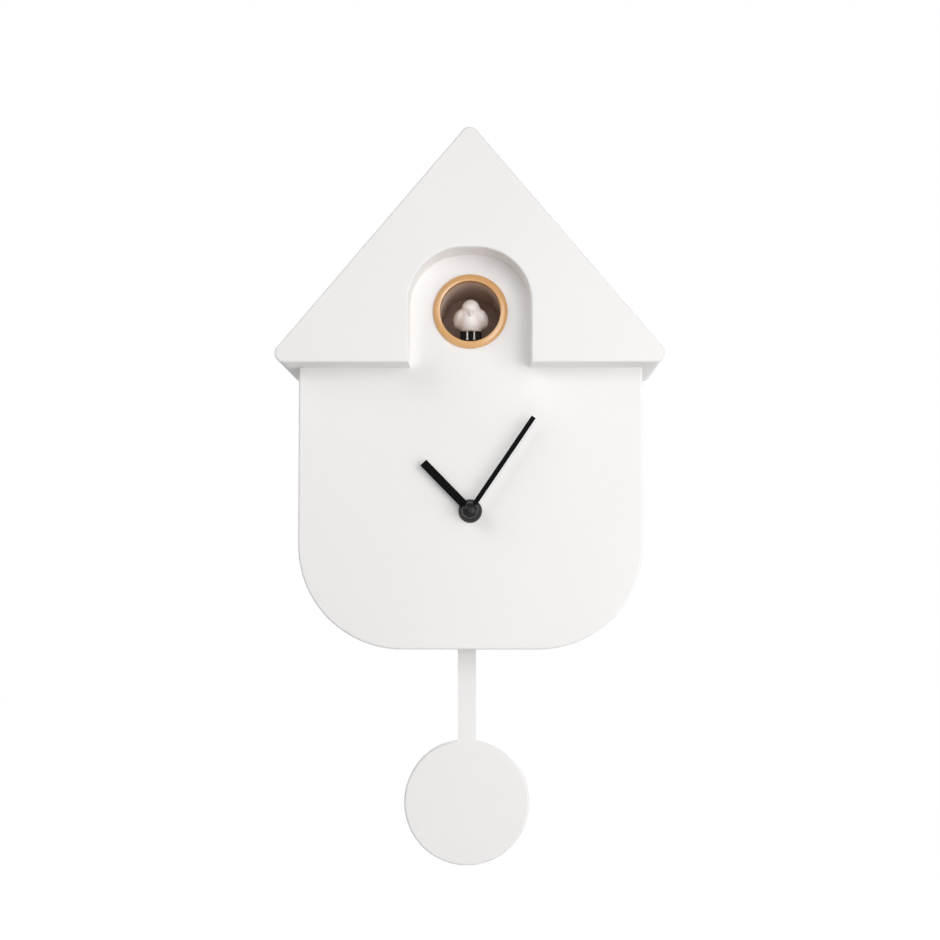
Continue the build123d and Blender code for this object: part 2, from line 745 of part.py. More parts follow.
with BuildPart() as movement_rear:
    block(
        (-movement_half, movement_half),
        (movement_back, movement_split),
        (z_hands - movement_half, z_hands + movement_half),
    )
    fillet(movement_rear.edges().filter_by(Axis.Y), 4.0)
    with BuildSketch(Plane.XZ.offset(case_rear)):
        with Locations((0, z_hands)):
            RectangleRounded(MOVEMENT - 2 * MOVEMENT_WALL, MOVEMENT - 2 * MOVEMENT_WALL, 2.5)
    extrude(amount=movement_split - case_rear, mode=Mode.SUBTRACT)
    bar(0, z_hands, case_rear, centre_plane - 0.6, ARBOR_R + 1.6)
    bar(0, z_hands, movement_back + 0.5, centre_plane, ARBOR_R + RUN, Mode.SUBTRACT)
    bar(knob_x, knob_z, movement_back, case_rear, SHAFT_R + RUN, Mode.SUBTRACT)
movement_rear.part.label = "movement_rear"
export_step(movement_rear.part, "parts/movement_rear.step")

# Centre arbor: wheel, cannon pinion and the square seat of the minute hand
with BuildPart() as centre_arbor:
    bar(0, z_hands, movement_back + 0.7, cap_back + 2.0, ARBOR_R)
    with BuildSketch(Plane.XZ.offset(centre_plane)):
        with BuildLine():
            Polyline(*gear_points(CENTRE_TEETH, MODULE, motor_angle, (0, z_hands)), close=True)
        make_face()
    extrude(amount=GEAR)
    with BuildSketch(Plane.XZ.offset(minute_plane - 0.4)):
        with BuildLine():
            Polyline(*gear_points(CANNON_TEETH, MODULE, 90, (0, z_hands)), close=True)
        make_face()
    extrude(amount=GEAR + 0.8)
centre_arbor.part.label = "centre_arbor"
export_step(centre_arbor.part, "parts/centre_arbor.step")

with BuildPart() as minute_wheel:
    with BuildSketch(Plane.XZ.offset(minute_plane)):
        with BuildLine():
            Polyline(*gear_points(MINUTE_TEETH, MODULE, minute_phase, (0, minute_z)), close=True)
        make_face()
    extrude(amount=GEAR)
    bar(0, minute_z, minute_plane, leaf_plane, PEG_R + 0.9)
    with BuildSketch(Plane.XZ.offset(leaf_plane - 0.4)):
        with BuildLine():
            Polyline(*gear_points(LEAF_TEETH, leaf_module, 270, (0, minute_z)), close=True)
        make_face()
    extrude(amount=GEAR + 0.8)
    bar(0, minute_z, minute_plane, leaf_plane + GEAR + 1.0, PEG_R + RUN, Mode.SUBTRACT)
minute_wheel.part.label = "minute_wheel"
export_step(minute_wheel.part, "parts/minute_wheel.step")

with BuildPart() as hour_wheel:
    with BuildSketch(Plane.XZ.offset(leaf_plane)):
        with BuildLine():
            Polyline(*gear_points(HOUR_TEETH, leaf_module, 90 + 180 / HOUR_TEETH, (0, z_hands)), close=True)
        make_face()
    extrude(amount=GEAR)
    bar(0, z_hands, leaf_plane, pipe_end, PIPE_R)
    bar(0, z_hands, leaf_plane, pipe_end, ARBOR_R + RUN, Mode.SUBTRACT)
hour_wheel.part.label = "hour_wheel"
export_step(hour_wheel.part, "parts/hour_wheel.step")

# Setting knob at the back, its shaft and the gear that turns the minute wheel
setting_phase = setting_angle + 180 + 180 / SETTING_TEETH
with BuildPart() as setting_knob:
    bar(knob_x, knob_z, 0.6, 5.6, KNOB_R)
    with BuildSketch(Plane.XZ.offset(0.6)):
        with Locations((knob_x, knob_z)):
            with PolarLocations(KNOB_R + 0.4, 18):
                Circle(1.0)
    extrude(amount=5.0, mode=Mode.SUBTRACT)
    bar(knob_x, knob_z + KNOB_R / 2, 0.6, 1.8, 2.2, Mode.SUBTRACT)
    bar(knob_x, knob_z, 5.6, case_front - 0.7, SHAFT_R)
    with BuildSketch(Plane.XZ.offset(minute_plane)):
        with BuildLine():
            Polyline(*gear_points(SETTING_TEETH, MODULE, setting_phase, (knob_x, knob_z)), close=True)
        make_face()
    extrude(amount=GEAR)
setting_knob.part.label = "setting_knob"
export_step(setting_knob.part, "parts/setting_knob.step")

# Stepping motor: sealed unit, coil beside it and its output pinion
unit_edge = tip_radius(HOUR_TEETH, leaf_module) * 0.72 + 1.2
unit_back = minute_plane - 1.0
with BuildPart() as step_unit:
    block(
        (-movement_half + MOVEMENT_WALL + 1.5, -unit_edge),
        (unit_back, case_front),
        (z_hands - movement_half + MOVEMENT_WALL + 1.5, z_hands - unit_edge),
    )
    fillet(step_unit.edges().filter_by(Axis.Y), 1.0)
    bar(step_x, step_z, unit_back, unit_back + 4.5, PEG_R + RUN, Mode.SUBTRACT)
step_unit.part.label = "step_unit"
export_step(step_unit.part, "parts/step_unit.step")

coil_depth = (unit_back + case_front) / 2
coil_z = z_hands - movement_half + MOVEMENT_WALL + 6.0
with BuildPart() as step_coil:
    axle(coil_depth, coil_z, -unit_edge, movement_half - MOVEMENT_WALL - 4.0, 1.6)
    axle(coil_depth, coil_z, -unit_edge + 3.0, movement_half - MOVEMENT_WALL - 7.0, 3.6)
    axle(coil_depth, coil_z, -unit_edge + 2.0, -unit_edge + 3.0, 4.0)
    axle(coil_depth, coil_z, movement_half - MOVEMENT_WALL - 7.0, movement_half - MOVEMENT_WALL - 6.0, 4.0)
step_coil.part.label = "step_coil"
export_step(step_coil.part, "parts/step_coil.step")

step_phase = motor_angle + 180 + 180 / MOTOR_TEETH
with BuildPart() as step_pinion:
    bar(step_x, step_z, centre_plane - 0.4, unit_back + 4.0, PEG_R)
    with BuildSketch(Plane.XZ.offset(centre_plane - 0.4)):
        with BuildLine():
            Polyline(*gear_points(MOTOR_TEETH, MODULE, step_phase, (step_x, step_z)), close=True)
        make_face()
    extrude(amount=GEAR + 0.8)
step_pinion.part.label = "step_pinion"
export_step(step_pinion.part, "parts/step_pinion.step")

# Washer and nut that clamp the movement to the face
with BuildPart() as stem_washer:
    bar(0, z_hands, face, washer_end, WASHER_R)
    bar(0, z_hands, face, washer_end, STEM_R + 0.1, Mode.SUBTRACT)
stem_washer.part.label = "stem_washer"
export_step(stem_washer.part, "parts/stem_washer.step")

with BuildPart() as stem_nut:
    with BuildSketch(Plane.XZ.offset(washer_end)):
        with Locations((0, z_hands)):
            RegularPolygon(NUT_FLATS / 2, 6, major_radius=False, rotation=-NUT_TURN)
    extrude(amount=NUT)
    chamfer(stem_nut.faces().sort_by(Axis.Y)[0].edges(), 0.35)
    bar(0, z_hands, washer_end, nut_end, STEM_R, Mode.SUBTRACT)
stem_nut.part.label = "stem_nut"
export_step(stem_nut.part, "parts/stem_nut.step")

# Hands: pressed bars on their pipe and arbor
with BuildPart() as hour_hand:
    with BuildSketch(Plane.XZ.offset(hour_back)):
        with Locations((0, z_hands)):
            Rectangle(HOUR_WIDTH, HOUR_LENGTH, rotation=HOUR_ANGLE, align=(Align.CENTER, Align.MIN))
            Circle(CAP_R - 0.6)
            Circle(PIPE_R, mode=Mode.SUBTRACT)
    extrude(amount=HAND)
hour_hand.part.label = "hour_hand"
export_step(hour_hand.part, "parts/hour_hand.step")

with BuildPart() as minute_hand:
    with BuildSketch(Plane.XZ.offset(minute_back)):
        with Locations((0, z_hands)):
            Rectangle(MINUTE_WIDTH, MINUTE_LENGTH, rotation=MINUTE_ANGLE, align=(Align.CENTER, Align.MIN))
            Circle(CAP_R - 0.6)
            Circle(ARBOR_R, mode=Mode.SUBTRACT)
    extrude(amount=HAND)
minute_hand.part.label = "minute_hand"
export_step(minute_hand.part, "parts/minute_hand.step")

with BuildPart() as hand_cap:
    bar(0, z_hands, cap_back, cap_back + CAP_HEIGHT, CAP_R)
    fillet(hand_cap.edges().group_by(Axis.Y)[0], CAP_R * 0.8)
    bar(0, z_hands, cap_back, cap_back + 2.2, ARBOR_R, Mode.SUBTRACT)
hand_cap.part.label = "hand_cap"
export_step(hand_cap.part, "parts/hand_cap.step")

# Pendulum drive behind the movement
with BuildPart() as pendulum_bracket:
    block(
        (PENDULUM_X - 15.0, PENDULUM_X + 15.0),
        (bracket_back, movement_back),
        (z_hands - movement_half + 1.0, pivot_z + 6.0),
    )
    fillet(pendulum_bracket.edges().filter_by(Axis.Y), 3.0)
    bar(PENDULUM_X, pivot_z, bracket_back, movement_back, SHAFT_R, Mode.SUBTRACT)
pendulum_bracket.part.label = "pendulum_bracket"
export_step(pendulum_bracket.part, "parts/pendulum_bracket.step")

with BuildPart() as drive_coil:
    bar(PENDULUM_X, magnet_z, hanger_front + 1.0, bracket_back, 6.0)
    bar(PENDULUM_X, magnet_z, hanger_front + 1.0, bracket_back, 2.0, Mode.SUBTRACT)
drive_coil.part.label = "drive_coil"
export_step(drive_coil.part, "parts/drive_coil.step")

with BuildPart() as pivot_pin:
    bar(PENDULUM_X, pivot_z, pendulum_front - 2.0, movement_back, SHAFT_R)
pivot_pin.part.label = "pivot_pin"
export_step(pivot_pin.part, "parts/pivot_pin.step")

with BuildPart() as pivot_clip:
    bar(PENDULUM_X, pivot_z, pendulum_front - 1.5, pendulum_front - FIT, 3.0)
    bar(PENDULUM_X, pivot_z, pendulum_front - 1.5, pendulum_front - FIT, SHAFT_R, Mode.SUBTRACT)
pivot_clip.part.label = "pivot_clip"
export_step(pivot_clip.part, "parts/pivot_clip.step")

# Hanger: swings on the pin and carries the magnet and the pendulum's hooks
with BuildPart() as pendulum_hanger:
    block(
        (PENDULUM_X - 6.0, PENDULUM_X + 6.0),
        (pendulum_front, hanger_front),
        (hook_low - 4.0, pivot_z),
    )
    bar(PENDULUM_X, pivot_z, pendulum_front, hanger_front, 6.0)
    bar(PENDULUM_X, pivot_z, hanger_front, bracket_back - FIT, 3.2)
    bar(PENDULUM_X, pivot_z, pendulum_front, bracket_back - FIT, SHAFT_R + RUN, Mode.SUBTRACT)
    bar(PENDULUM_X, magnet_z, hanger_front - 1.6, hanger_front, 4.5, Mode.SUBTRACT)
    for z in (hook_high, hook_low):
        bar(PENDULUM_X, z, pendulum_front - ROD - 0.8, pendulum_front, 1.4)
pendulum_hanger.part.label = "pendulum_hanger"
export_step(pendulum_hanger.part, "parts/pendulum_hanger.step")

with BuildPart() as drive_magnet:
    bar(PENDULUM_X, magnet_z, hanger_front - 1.6, hanger_front + 0.4, 4.5)
drive_magnet.part.label = "drive_magnet"
export_step(drive_magnet.part, "parts/drive_magnet.step")

# Pendulum: rod and disc moulded in one, front faces level
with BuildPart() as pendulum:
    bar(PENDULUM_X, disc_z, pendulum_front - DISC, pendulum_front, DISC_R)
    fillet(pendulum.edges().filter_by(GeomType.CIRCLE), EDGE)
    block(
        (PENDULUM_X - ROD_WIDTH / 2, PENDULUM_X + ROD_WIDTH / 2),
        (pendulum_front - ROD, pendulum_front),
        (disc_z, hook_high + 4.0),
    )
    for z in (hook_high, hook_low):
        bar(PENDULUM_X, z, pendulum_front - ROD, pendulum_front, 1.4, Mode.SUBTRACT)
pendulum.part.label = "pendulum"
export_step(pendulum.part, "parts/pendulum.step")

# Battery tray on the back cover, open towards the wall
with BuildPart() as battery_tray:
    block((bay_x - tray_half, bay_x + tray_half), (COVER, tray_back), (bay_low - 3.0, bay_high + 3.0))
    block(
        (bay_x - tray_half + TRAY_WALL, bay_x + tray_half - TRAY_WALL),
        (COVER, tray_back - TRAY_WALL),
        (bay_low - 3.0 + TRAY_WALL, bay_high + 3.0 - TRAY_WALL),
        Mode.SUBTRACT,
    )
battery_tray.part.label = "battery_tray"
export_step(battery_tray.part, "parts/battery_tray.step")

# Contacts: plates on the end walls, a cone for each spring and a button for each cap
cell_depth = 2 * BARREL_R + 0.4 + CELL_R
contact_low = bay_low - 3.0 + TRAY_WALL
contact_high = bay_high + 3.0 - TRAY_WALL
with BuildPart() as battery_contacts:
    for side in (-1, 1):
        x = bay_x + side * (CELL_R + 1.0)
        for base, turn in ((contact_low, 1), (contact_high, -1)):
            block(
                (x - 5.0, x + 5.0),
                (cell_depth - 3.5, cell_depth + 5.0),
                (min(base, base + turn * 0.5), max(base, base + turn * 0.5)),
            )
            reach = 4.8 if turn == side else 1.2
            with Locations((x, -cell_depth, base + turn * (0.5 + reach / 2))):
                Cone(3.4 if turn == 1 else 2.2, 2.2 if turn == 1 else 3.4, reach)
battery_contacts.part.label = "battery_contacts"
export_step(battery_contacts.part, "parts/battery_contacts.step")

# Battery door: level with the cover, swinging on pins along its top
door_half = bay_half - FIT
with BuildPart() as battery_door:
    block((bay_x - door_half, bay_x + door_half), (0, 2.0), (bay_low + FIT, hinge_z))
    axle(BARREL_R, hinge_z, bay_x - door_half, bay_x + door_half, BARREL_R)
    axle(BARREL_R, hinge_z, bay_x - bay_half - 1.2, bay_x + bay_half + 1.2, PIN_R)
    for k in range(3):
        block(
            (bay_x - 6.0, bay_x + 6.0),
            (0, 0.6),
            (bay_low + 4.0 + 3.0 * k, bay_low + 5.2 + 3.0 * k),
            Mode.SUBTRACT,
        )
battery_door.part.label = "battery_door"
export_step(battery_door.part, "parts/battery_door.step")

# Circuit board on four posts
with BuildPart() as circuit_board:
    block(
        (board_x - BOARD_WIDTH / 2, board_x + BOARD_WIDTH / 2),
        (board_front - BOARD, board_front),
        (board_z - BOARD_HEIGHT / 2, board_z + BOARD_HEIGHT / 2),
    )
    for x, z in board_places:
        bar(x, z, board_front - BOARD, board_front, SCREW_R + FIT, Mode.SUBTRACT)
circuit_board.part.label = "circuit_board"
export_step(circuit_board.part, "parts/circuit_board.step")

board_back = board_front - BOARD
chip_side = CHIP_WIDTH / 2 + PART_GAP
chip_top = CHIP_HEIGHT / 2 + PART_GAP
driver_middle = board_x - DRIVER_WIDTH / 4
plug_top = board_z - CHIP_WIDTH / 2 - CHIP_HEIGHT / 2
with BuildPart() as board_parts:
    block(
        (board_x - CHIP_WIDTH / 2, board_x + CHIP_WIDTH / 2),
        (board_back - CHIP, board_back),
        (board_z - CHIP_HEIGHT / 2, board_z + CHIP_HEIGHT / 2),
    )
    block(
        (driver_middle - DRIVER_WIDTH / 2, driver_middle + DRIVER_WIDTH / 2),
        (board_back - DRIVER, board_back),
        (board_z + chip_top, board_z + chip_top + DRIVER_HEIGHT),
    )
    bar(board_x - chip_side, board_z + 2 * CAN_R, board_back - CAN, board_back, CAN_R)
    bar(board_x + chip_side, board_z - 2 * PART_GAP, board_back - SMALL_CAN, board_back, SMALL_CAN_R)
    block(
        (board_x - chip_side, board_x - PLUG_HEIGHT),
        (board_back - PLUG_HEIGHT, board_back),
        (plug_top - PLUG_HEIGHT, plug_top),
    )
board_parts.part.label = "board_parts"
export_step(board_parts.part, "parts/board_parts.step")

with BuildPart() as board_screws:
    for x, z in board_places:
        bar(x, z, board_back - HEAD, board_back, HEAD_R)
        bar(x, z, board_back, board_front + SCREW_BITE - SCREW_SPARE, SCREW_R)
        recess(x, z, board_back - HEAD)
board_screws.part.label = "board_screws"
export_step(board_screws.part, "parts/board_screws.step")

# Speaker behind the holes of the cover
basket_deep = COVER + SPEAKER_DEPTH
cone_back = COVER + SPEAKER_RIM + CONE_WALL / 2
with BuildPart() as speaker_basket:
    bar(speaker_x, speaker_z, COVER, COVER + SPEAKER_RIM, SPEAKER_R)
    with Locations((speaker_x, -COVER - SPEAKER_RIM, speaker_z)):
        Cone(
            SPEAKER_R - BASKET_WALL,
            SPEAKER_NECK,
            SPEAKER_DEPTH - SPEAKER_RIM,
            rotation=(90, 0, 0),
            align=(Align.CENTER, Align.CENTER, Align.MIN),
        )
    with Locations((speaker_x, -COVER, speaker_z)):
        Cone(
            SPEAKER_R - 2 * BASKET_WALL,
            SPEAKER_NECK - BASKET_WALL,
            SPEAKER_DEPTH - BASKET_WALL,
            rotation=(90, 0, 0),
            align=(Align.CENTER, Align.CENTER, Align.MIN),
            mode=Mode.SUBTRACT,
        )
speaker_basket.part.label = "speaker_basket"
export_step(speaker_basket.part, "parts/speaker_basket.step")

with BuildPart() as speaker_cone:
    with Locations((speaker_x, -cone_back, speaker_z)):
        Cone(
            SPEAKER_R - CONE_BORDER,
            CONE_NECK,
            SPEAKER_DEPTH - 2 * SPEAKER_RIM,
            rotation=(90, 0, 0),
            align=(Align.CENTER, Align.CENTER, Align.MIN),
        )
    with Locations((speaker_x, -cone_back, speaker_z)):
        Cone(
            SPEAKER_R - CONE_BORDER - CONE_WALL,
            CONE_NECK - CONE_WALL,
            SPEAKER_DEPTH - 2 * SPEAKER_RIM - CONE_WALL,
            rotation=(90, 0, 0),
            align=(Align.CENTER, Align.CENTER, Align.MIN),
            mode=Mode.SUBTRACT,
        )
speaker_cone.part.label = "speaker_cone"
export_step(speaker_cone.part, "parts/speaker_cone.step")

with BuildPart() as speaker_magnet:
    bar(speaker_x, speaker_z, basket_deep, basket_deep + SPEAKER_MAGNET, SPEAKER_NECK)
    fillet(speaker_magnet.edges().group_by(Axis.Y)[0], CONE_WALL)
speaker_magnet.part.label = "speaker_magnet"
export_step(speaker_magnet.part, "parts/speaker_magnet.step")

# Volume switch: body on the cover, slider in the cover's slot
slider_front = COVER + 0.2
with BuildPart() as volume_slider:
    block((switch_x - 2.5, switch_x + 2.5), (0.4, slider_front), (switch_z - 2.0, switch_z + 2.0))
    block(
        (switch_x - SWITCH_THROW - 3.5, switch_x + SWITCH_THROW + 3.5),
        (slider_front, slider_front + 1.6),
        (switch_z - 3.5, switch_z + 3.5),
    )
    for x in (switch_x - 1.4, switch_x, switch_x + 1.4):
        block((x - 0.3, x + 0.3), (0.4, 0.8), (switch_z - 2.0, switch_z + 2.0), Mode.SUBTRACT)
volume_slider.part.label = "volume_slider"
export_step(volume_slider.part, "parts/volume_slider.step")

switch_half = 2 * SWITCH_THROW + 3.5 + FIT
with BuildPart() as volume_switch:
    block(
        (switch_x - switch_half - 2.0, switch_x + switch_half + 2.0),
        (COVER, slider_front + 6.0),
        (switch_z - 5.0, switch_z + 5.0),
    )
    block(
        (switch_x - switch_half, switch_x + switch_half),
        (COVER, slider_front + 1.8),
        (switch_z - 3.5 - FIT, switch_z + 3.5 + FIT),
        Mode.SUBTRACT,
    )
volume_switch.part.label = "volume_switch"
export_step(volume_switch.part, "parts/volume_switch.step")
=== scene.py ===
import json
from math import radians

import bpy
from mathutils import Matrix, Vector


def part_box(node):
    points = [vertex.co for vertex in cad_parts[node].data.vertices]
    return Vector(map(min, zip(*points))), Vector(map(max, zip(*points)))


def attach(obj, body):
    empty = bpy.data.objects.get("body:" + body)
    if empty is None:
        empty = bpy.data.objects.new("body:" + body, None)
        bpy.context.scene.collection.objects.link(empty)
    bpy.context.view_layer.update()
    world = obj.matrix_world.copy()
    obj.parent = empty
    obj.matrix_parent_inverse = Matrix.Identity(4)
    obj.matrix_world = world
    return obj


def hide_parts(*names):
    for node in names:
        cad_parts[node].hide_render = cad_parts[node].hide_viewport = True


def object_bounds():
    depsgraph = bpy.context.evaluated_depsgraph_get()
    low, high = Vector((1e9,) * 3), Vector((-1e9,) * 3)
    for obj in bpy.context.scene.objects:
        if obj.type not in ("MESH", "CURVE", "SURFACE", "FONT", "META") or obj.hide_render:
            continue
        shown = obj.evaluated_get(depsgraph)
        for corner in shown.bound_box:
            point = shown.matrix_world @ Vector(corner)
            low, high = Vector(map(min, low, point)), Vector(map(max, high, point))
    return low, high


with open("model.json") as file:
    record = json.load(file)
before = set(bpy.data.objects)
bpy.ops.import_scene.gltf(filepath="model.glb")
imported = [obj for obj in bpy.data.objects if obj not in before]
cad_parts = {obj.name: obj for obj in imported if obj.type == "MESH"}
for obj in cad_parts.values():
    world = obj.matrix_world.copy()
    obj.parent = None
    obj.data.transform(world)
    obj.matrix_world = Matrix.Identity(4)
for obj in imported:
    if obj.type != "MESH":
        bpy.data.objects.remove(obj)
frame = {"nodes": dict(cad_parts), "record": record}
cad_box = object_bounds()
nodes = frame["nodes"]
scene = bpy.context.scene

# Sizes are in millimetres, and this turns them into metres
MM = 0.001
SIDES = (-1, 1)
# Which of the values that reach gives are out and up, and which of each pair is the least and the most
OUT, UP = 1, 2
LEAST, MOST = 0, 1


def at(across, out, up):
    """Point in metres from millimetres across, out from the wall and up."""
    return (across * MM, -out * MM, up * MM)


def reach(node):
    """How far a CAD node reaches, in millimetres: least and most across, out from the wall, and up."""
    low, high = [[round(value / MM, 2) for value in corner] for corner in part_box(node)]
    return (low[0], high[0]), (-high[1], -low[1]), (low[2], high[2])


# Camera: lens and sensor in millimetres, angles in degrees
CAMERA_PLACE = at(14.0, 865.7, -196.4)
CAMERA_LOOKS_UP = 2.237
CAMERA_TURN = 0.443
LENS = 55.41
SENSOR_WIDTH = 36.0
SHIFT_ACROSS = -0.015
SHIFT_UP = 0.06

camera_data = bpy.data.cameras.new("camera")
camera_data.sensor_width = SENSOR_WIDTH
camera_data.lens = LENS
camera_data.shift_x = SHIFT_ACROSS
camera_data.shift_y = SHIFT_UP
camera = bpy.data.objects.new("camera", camera_data)
camera.location = CAMERA_PLACE
camera.rotation_euler = (radians(90.0 + CAMERA_LOOKS_UP), 0.0, radians(CAMERA_TURN))
scene.collection.objects.link(camera)
scene.camera = camera
scene.view_settings.view_transform = "Standard"


# Finishes

# A Mix node's colour sockets share their names with its other sockets, so they go by their number
FACTOR, FIRST, SECOND, MIXED = 0, 6, 7, 2
# Most of a noise texture lies between these values
NOISE_LOW, NOISE_HIGH = 0.3, 0.7
# One wave of the wave texture at a scale of 1
WAVE_LENGTH = 314.0
# Grain drawn out along the depth, across the clock, or round an axis that points out of the wall
ALONG_OUT = (1.0, 0.06, 1.0)
ALONG_ACROSS = (0.06, 1.0, 1.0)
ROUND_OUT = (0.08, 1.0, 0.08)
LACQUER_ROUGHNESS = 0.12
# Enamelled wire and its spacing as drawn, and the middle of the pendulum's drive coil
COPPER_WIRE = 0.1
COPPER_PITCH = 0.5
DRIVE_COIL_MIDDLE = at(-2.4, 34.0, -177.2)
# Circuit board: spacing of the tracks, weave of the glass and thickness of the copper
TRACK_SPACING = 5.0
GLASS_WEAVE = 0.8
COPPER_FOIL = 0.035
# The end of the tunnel that is painted darker as shade, from its back, and the width of the change from the
# bore's colour
SHADED_END_LENGTH = 3.0
SHADED_END_FADE = 0.6


def linear(hex_colour):
    """Linear colour of an sRGB hex value."""
    channels = [int(hex_colour[i:i + 2], 16) / 255 for i in (1, 3, 5)]
    return [c / 12.92 if c <= 0.04045 else ((c + 0.055) / 1.055) ** 2.4 for c in channels] + [1.0]


def put(tree, kind, inputs, **settings):
    """Adds a node with its settings. An input is a value, or the socket that feeds it."""
    node = tree.nodes.new(kind)
    for name, value in settings.items():
        setattr(node, name, value)
    for name, value in inputs.items():
        if isinstance(value, bpy.types.NodeSocket):
            tree.links.new(value, node.inputs[name])
        else:
            node.inputs[name].default_value = value
    return node


def new_finish(name, metallic=0.0):
    """New finish: its material, node tree, shader and the piece's own coordinates."""
    material = bpy.data.materials.new(name)
    material.use_nodes = True
    tree = material.node_tree
    shader = tree.nodes["Principled BSDF"]
    shader.inputs["Metallic"].default_value = metallic
    place = put(tree, "ShaderNodeTexCoord", {}).outputs["Object"]
    return material, tree, shader, place


def feed(tree, shader, colour, roughness=None, bump=None):
    """Links what was made for the shader to its sockets."""
    for name, socket in (("Base Color", colour), ("Roughness", roughness), ("Normal", bump)):
        if socket is not None:
            tree.links.new(socket, shader.inputs[name])


def grained(name, tone, shade, patch_mm, rough, grain_mm, depth_mm, along=(1.0, 1.0, 1.0), metallic=0.0,
            ior=1.5, shine=0.5, lacquer=0.0):
    """Finish with slow patches between two colours, and a grain that shows in its gloss and relief.
    A value under 1 in along draws the grain out that way, into lines."""
    material, tree, shader, place = new_finish(name, metallic)
    shader.inputs["IOR"].default_value = ior
    shader.inputs["Specular IOR Level"].default_value = shine
    shader.inputs["Coat Weight"].default_value = lacquer
    shader.inputs["Coat Roughness"].default_value = LACQUER_ROUGHNESS
    drawn = put(tree, "ShaderNodeMapping", {"Vector": place, "Scale": along})
    patch = put(tree, "ShaderNodeTexNoise",
                {"Vector": place, "Scale": 1 / (patch_mm * MM), "Detail": 3.0})
    grain = put(tree, "ShaderNodeTexNoise",
                {"Vector": drawn.outputs["Vector"], "Scale": 1 / (grain_mm * MM), "Detail": 2.0})
    colour = put(tree, "ShaderNodeMix",
                 {FACTOR: patch.outputs["Fac"], FIRST: linear(tone), SECOND: linear(shade)},
                 data_type="RGBA")
    gloss = put(tree, "ShaderNodeMapRange",
                {"Value": grain.outputs["Fac"], "From Min": NOISE_LOW, "From Max": NOISE_HIGH,
                 "To Min": rough[0], "To Max": rough[1]})
    relief = put(tree, "ShaderNodeBump",
                 {"Height": grain.outputs["Fac"], "Strength": 1.0, "Distance": depth_mm * MM})
    feed(tree, shader, colour.outputs[MIXED], gloss.outputs["Result"], relief.outputs["Normal"])
    return material


def wound_copper(name, shape, centre):
    """Enamelled copper wire, wound turn beside turn in fine ridges: red-gold, painted darker between the
    turns and lighter on their crowns, as painted shade and painted highlight.
    The turns are drawn further apart than the wire is thick, so that they show."""
    material, tree, shader, place = new_finish(name, metallic=1.0)
    moved = put(tree, "ShaderNodeMapping", {"Vector": place, "Location": [-c for c in centre]})
    turns = put(tree, "ShaderNodeTexWave",
                {"Vector": moved.outputs["Vector"], "Scale": WAVE_LENGTH / COPPER_PITCH, "Distortion": 0.6},
                rings_direction="Y", bands_direction="X", wave_type=shape)
    # Painted shade and painted highlight: darker copper in the grooves between turns, lighter copper on their
    # crowns
    colour = put(tree, "ShaderNodeMix",
                 {FACTOR: turns.outputs["Fac"], FIRST: linear("#8A4A24"), SECOND: linear("#CC7E4A")},
                 data_type="RGBA")
    gloss = put(tree, "ShaderNodeMapRange", {"Value": turns.outputs["Fac"], "To Min": 0.42, "To Max": 0.26})
    relief = put(tree, "ShaderNodeBump", {"Height": turns.outputs["Fac"], "Distance": COPPER_WIRE * MM})
    feed(tree, shader, colour.outputs[MIXED], gloss.outputs["Result"], relief.outputs["Normal"])
    return material


def masked_board(name):
    """Glass laminate under green solder mask: copper tracks lie under it as lighter, raised lines."""
    material, tree, shader, place = new_finish(name)
    shader.inputs["Coat Weight"].default_value = 0.3
    tracks = put(tree, "ShaderNodeTexVoronoi", {"Vector": place, "Scale": 1 / (TRACK_SPACING * MM)},
                 feature="DISTANCE_TO_EDGE")
    edge = put(tree, "ShaderNodeMapRange",
               {"Value": tracks.outputs["Distance"], "From Min": 0.06, "From Max": 0.1,
                "To Min": 1.0, "To Max": 0.0})
    weave = put(tree, "ShaderNodeTexNoise",
                {"Vector": place, "Scale": 1 / (GLASS_WEAVE * MM), "Detail": 2.0})
    colour = put(tree, "ShaderNodeMix",
                 {FACTOR: edge.outputs["Result"], FIRST: linear("#1B5A34"), SECOND: linear("#2F7A48")},
                 data_type="RGBA")
    gloss = put(tree, "ShaderNodeMapRange", {"Value": weave.outputs["Fac"], "To Min": 0.22, "To Max": 0.4})
    relief = put(tree, "ShaderNodeBump", {"Height": edge.outputs["Result"], "Distance": COPPER_FOIL * MM})
    feed(tree, shader, colour.outputs[MIXED], gloss.outputs["Result"], relief.outputs["Normal"])
    return material


def paint_shade_on_tunnel_end(material, shade):
    """Paints the tunnel's end a darker colour than the bore in front of it: painted shade at the back of the
    tunnel.
    """
    tree = material.node_tree
    shader = tree.nodes["Principled BSDF"]
    bore = shader.inputs["Base Color"].links[0].from_socket
    end_out = reach("bird_tunnel")[OUT][LEAST] + SHADED_END_LENGTH
    place = put(tree, "ShaderNodeTexCoord", {}).outputs["Object"]
    depth = put(tree, "ShaderNodeSeparateXYZ", {"Vector": place})
    painted_shade_mask = put(tree, "ShaderNodeMapRange",
                 {"Value": depth.outputs["Y"], "From Min": -end_out * MM,
                  "From Max": (SHADED_END_FADE - end_out) * MM})
    # Painted shade: the bore's colour turns darker over the last millimetres to the tunnel's end
    colour = put(tree, "ShaderNodeMix",
                 {FACTOR: painted_shade_mask.outputs["Result"], FIRST: bore, SECOND: linear(shade)}, data_type="RGBA")
    feed(tree, shader, colour.outputs[MIXED])


# ABS from a lightly spark-eroded mould: a soft satin white with faint flow marks. The grit is about
# 0.1 mm, drawn at 0.9 mm so that it shows.
satin_white_abs = grained(
    "satin_white_abs", "#F2F0EF", "#EDEBEA", patch_mm=70.0, rough=(0.38, 0.5), grain_mm=0.9, depth_mm=0.006,
    ior=1.53)
# The cover faces the wall and has a coarser grit, about 0.25 mm, drawn at 0.7 mm: a dry, even white.
textured_white_abs = grained(
    "textured_white_abs", "#ECEAE8", "#E6E4E2", patch_mm=45.0, rough=(0.5, 0.65), grain_mm=0.7, depth_mm=0.03,
    ior=1.53)
